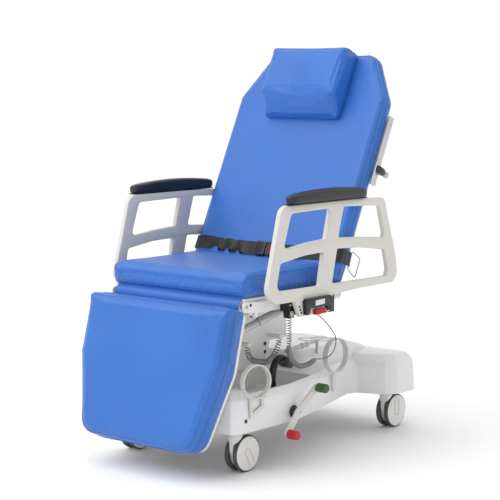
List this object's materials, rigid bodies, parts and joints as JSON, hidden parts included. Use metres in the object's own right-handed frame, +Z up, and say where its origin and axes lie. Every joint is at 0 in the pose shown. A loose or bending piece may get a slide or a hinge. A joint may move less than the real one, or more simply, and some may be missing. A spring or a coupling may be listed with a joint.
{
  "type": "patient recliner chair",
  "caption": "Wheeled patient chair with a reclining back, a raising leg rest, a lifting seat, window-frame arms, a head pillow, a lap belt and central brake pedals.",
  "frame": {"origin": "on the floor at the middle of the bounding box", "axes": "+Z up; the chair faces -Y; +X is the patient's left"},
  "size_m": [0.77, 1.2008, 1.4152],
  "materials": {
    "blue_vinyl": "satin",
    "beige_plastic": "satin",
    "white_plastic": "satin",
    "white_paint": "satin",
    "white_board": "satin",
    "white_enamel": "satin",
    "black_foam": "matte",
    "black_plastic": "satin",
    "grey_rubber": "matte",
    "rail_aluminium": "satin",
    "steel": "satin",
    "dark_steel": "satin",
    "red_rubber": "satin",
    "green_rubber": "matte",
    "black_webbing": "matte",
    "grey_sleeve": "satin"
  },
  "bodies": {
    "base": {"base_cover": "white_plastic", "chassis_frame": "dark_steel", "lift_column_outer": "white_enamel", "lift_jack_cylinder": "dark_steel", "front_bottle_hoop": "beige_plastic", "rear_bottle_hoop": "beige_plastic", "pump_lever_bracket": "black_plastic", "base_gas_spring": "rail_aluminium"},
    "seat_carriage": {"lift_column_inner": "steel", "lift_side_plate_left": "beige_plastic", "lift_side_plate_right": "beige_plastic", "seat_frame": "white_paint", "seat_deck": "white_board", "seat_cushion": "blue_vinyl", "leg_hinge_shaft": "steel", "back_hinge_shaft": "steel", "arm_clamp_left": "black_plastic", "arm_clamp_right": "black_plastic", "hanging_curly_cord": "grey_rubber", "grey_sleeve": "grey_sleeve", "thin_release_cable": "black_plastic", "looped_curly_cord": "black_plastic"},
    "backrest": {"back_cushion": "blue_vinyl", "back_panel": "white_board", "back_frame": "white_paint", "side_rail_left": "rail_aluminium", "side_rail_right": "rail_aluminium", "rail_clamp": "black_plastic", "belt_strap_left": "black_webbing", "belt_strap_right": "black_webbing", "belt_buckle": "black_plastic"},
    "pillow": {"head_pillow": "blue_vinyl"},
    "clamp_knob": {"rail_clamp_knob": "steel"},
    "belt_button": {"buckle_button": "red_rubber"},
    "leg_rest": {"leg_cushion": "blue_vinyl", "leg_panel": "white_board"},
    "actuator_tube": {"leg_actuator_tube": "rail_aluminium"},
    "actuator_rod": {"leg_actuator_rod": "steel"},
    "foot_lever": {"pump_lever": "black_plastic"},
    "brake_linkage": {"brake_cross_shaft": "steel", "green_tread_left": "green_rubber", "green_tread_right": "green_rubber", "red_tread_left": "red_rubber", "red_tread_right": "red_rubber"},
    "arm_left": {"arm_panel_left": "beige_plastic", "arm_pad_left": "black_foam", "latch_box_left": "black_plastic"},
    "latch_left": {"latch_tab_left": "red_rubber"},
    "arm_right": {"arm_panel_right": "beige_plastic", "arm_pad_right": "black_foam", "latch_box_right": "black_plastic"},
    "latch_right": {"latch_tab_right": "red_rubber"},
    "caster_front_left": {"caster_housing_front_left": "beige_plastic"},
    "wheels_front_left": {"caster_wheels_front_left": "beige_plastic"},
    "caster_front_right": {"caster_housing_front_right": "beige_plastic"},
    "wheels_front_right": {"caster_wheels_front_right": "beige_plastic"},
    "caster_rear_left": {"caster_housing_rear_left": "beige_plastic"},
    "wheels_rear_left": {"caster_wheels_rear_left": "beige_plastic"},
    "caster_rear_right": {"caster_housing_rear_right": "beige_plastic"},
    "wheels_rear_right": {"caster_wheels_rear_right": "beige_plastic"}
  },
  "joints": [
    {"name": "lift_height", "type": "slide", "parent": "base", "child": "seat_carriage", "axis": [0, 0, 1], "range_m": [-0.034, 0.18]},
    {"name": "back_recline", "type": "hinge", "parent": "seat_carriage", "child": "backrest", "pos_m": [0, 0.1256, 0.59], "axis": [-1, 0, 0], "range_deg": [0, 64]},
    {"name": "leg_raise", "type": "hinge", "parent": "seat_carriage", "child": "leg_rest", "pos_m": [0, -0.373, 0.564], "axis": [-1, 0, 0], "range_deg": [0, 75]},
    {"name": "leg_actuator_tilt", "type": "hinge", "parent": "seat_carriage", "child": "actuator_tube", "pos_m": [0.225, -0.047, 0.526], "axis": [-1, 0, 0], "range_deg": [0, 18]},
    {"name": "leg_actuator_stroke", "type": "slide", "parent": "actuator_tube", "child": "actuator_rod", "axis": [0, -0.9776, -0.2107], "range_m": [0, 0.088]},
    {"name": "pillow_height", "type": "slide", "parent": "backrest", "child": "pillow", "axis": [0, 0.4352, 0.9003], "range_m": [-0.1, 0.02]},
    {"name": "clamp_screw", "type": "hinge", "parent": "backrest", "child": "clamp_knob", "pos_m": [0.35, 0.32025, 0.97129], "axis": [0, 0.9003, -0.4352], "continuous": true},
    {"name": "belt_release", "type": "slide", "parent": "backrest", "child": "belt_button", "axis": [0, 0.9003, -0.4352], "range_m": [0, 0.003], "stiffness_N_per_m": 300, "springref_m": -0.003},
    {"name": "pump_stroke", "type": "hinge", "parent": "base", "child": "foot_lever", "pos_m": [0.19, -0.099, 0.234], "axis": [-1, 0, 0], "range_deg": [0, 15], "stiffness_Nm_per_rad": 1.2, "springref_deg": -17.19},
    {"name": "brake_pedal", "type": "hinge", "parent": "base", "child": "brake_linkage", "pos_m": [0, -0.138, 0.18], "axis": [-1, 0, 0], "range_deg": [0, 60]},
    {"name": "arm_swing_left", "type": "hinge", "parent": "seat_carriage", "child": "arm_left", "pos_m": [0.318, -0.05, 0.52], "axis": [0, 1, 0], "range_deg": [0, 140]},
    {"name": "arm_latch_left", "type": "slide", "parent": "arm_left", "child": "latch_left", "axis": [0, 0, 1], "range_m": [0, 0.006], "stiffness_N_per_m": 250, "springref_m": -0.006},
    {"name": "arm_swing_right", "type": "hinge", "parent": "seat_carriage", "child": "arm_right", "pos_m": [-0.318, -0.05, 0.52], "axis": [0, -1, 0], "range_deg": [0, 140]},
    {"name": "arm_latch_right", "type": "slide", "parent": "arm_right", "child": "latch_right", "axis": [0, 0, 1], "range_m": [0, 0.006], "stiffness_N_per_m": 250, "springref_m": -0.006},
    {"name": "swivel_front_left", "type": "hinge", "parent": "base", "child": "caster_front_left", "pos_m": [0.2445, -0.362, 0.15], "axis": [0, 0, 1], "continuous": true},
    {"name": "roll_front_left", "type": "hinge", "parent": "caster_front_left", "child": "wheels_front_left", "pos_m": [0.2445, -0.328, 0.0625], "axis": [1, 0, 0], "continuous": true},
    {"name": "swivel_front_right", "type": "hinge", "parent": "base", "child": "caster_front_right", "pos_m": [-0.2445, -0.362, 0.15], "axis": [0, 0, 1], "continuous": true},
    {"name": "roll_front_right", "type": "hinge", "parent": "caster_front_right", "child": "wheels_front_right", "pos_m": [-0.2445, -0.328, 0.0625], "axis": [1, 0, 0], "continuous": true},
    {"name": "swivel_rear_left", "type": "hinge", "parent": "base", "child": "caster_rear_left", "pos_m": [0.2445, 0.506, 0.15], "axis": [0, 0, 1], "continuous": true},
    {"name": "roll_rear_left", "type": "hinge", "parent": "caster_rear_left", "child": "wheels_rear_left", "pos_m": [0.2445, 0.54, 0.0625], "axis": [1, 0, 0], "continuous": true},
    {"name": "swivel_rear_right", "type": "hinge", "parent": "base", "child": "caster_rear_right", "pos_m": [-0.2445, 0.506, 0.15], "axis": [0, 0, 1], "continuous": true},
    {"name": "roll_rear_right", "type": "hinge", "parent": "caster_rear_right", "child": "wheels_rear_right", "pos_m": [-0.2445, 0.54, 0.0625], "axis": [1, 0, 0], "continuous": true}
  ],
  "couplings": [
    {"joint": "leg_actuator_tilt", "follows": "leg_raise", "ratio": 0.2143},
    {"joint": "leg_actuator_stroke", "follows": "leg_raise", "m_per_rad": 0.0655}
  ]
}
